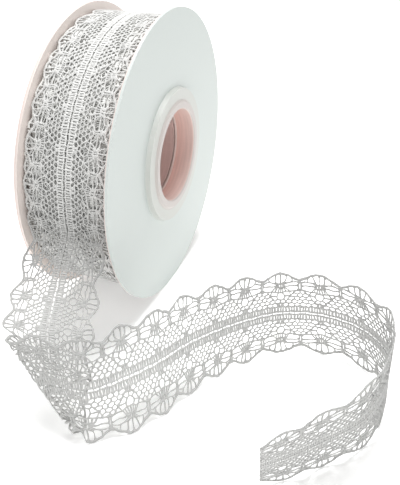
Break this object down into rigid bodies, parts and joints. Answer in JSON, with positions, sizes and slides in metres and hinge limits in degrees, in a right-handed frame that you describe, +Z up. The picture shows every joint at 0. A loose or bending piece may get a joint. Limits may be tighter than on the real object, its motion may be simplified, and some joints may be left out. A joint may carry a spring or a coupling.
{
  "type": "roll of lace trim on a spool",
  "caption": "Narrow scalloped lace trim wound on a flanged plastic spool standing on its rims, its loose end folded over and standing on its edge in front.",
  "frame": {"origin": "middle of the footprint, on the surface the spool stands on", "axes": "+X along the spool's axis towards the flange that the picture shows, +Z up, the loose end lies towards -Y"},
  "size_m": [0.0917, 0.1132, 0.0798],
  "materials": {
    "near_flange": "satin",
    "far_flange": "satin",
    "wound_lace": "matte",
    "loose_lace": "matte"
  },
  "bodies": {
    "root": {"spool_near": "near_flange", "spool_far": "far_flange", "lace_roll": "wound_lace", "lace_tail": "loose_lace"}
  },
  "joints": []
}
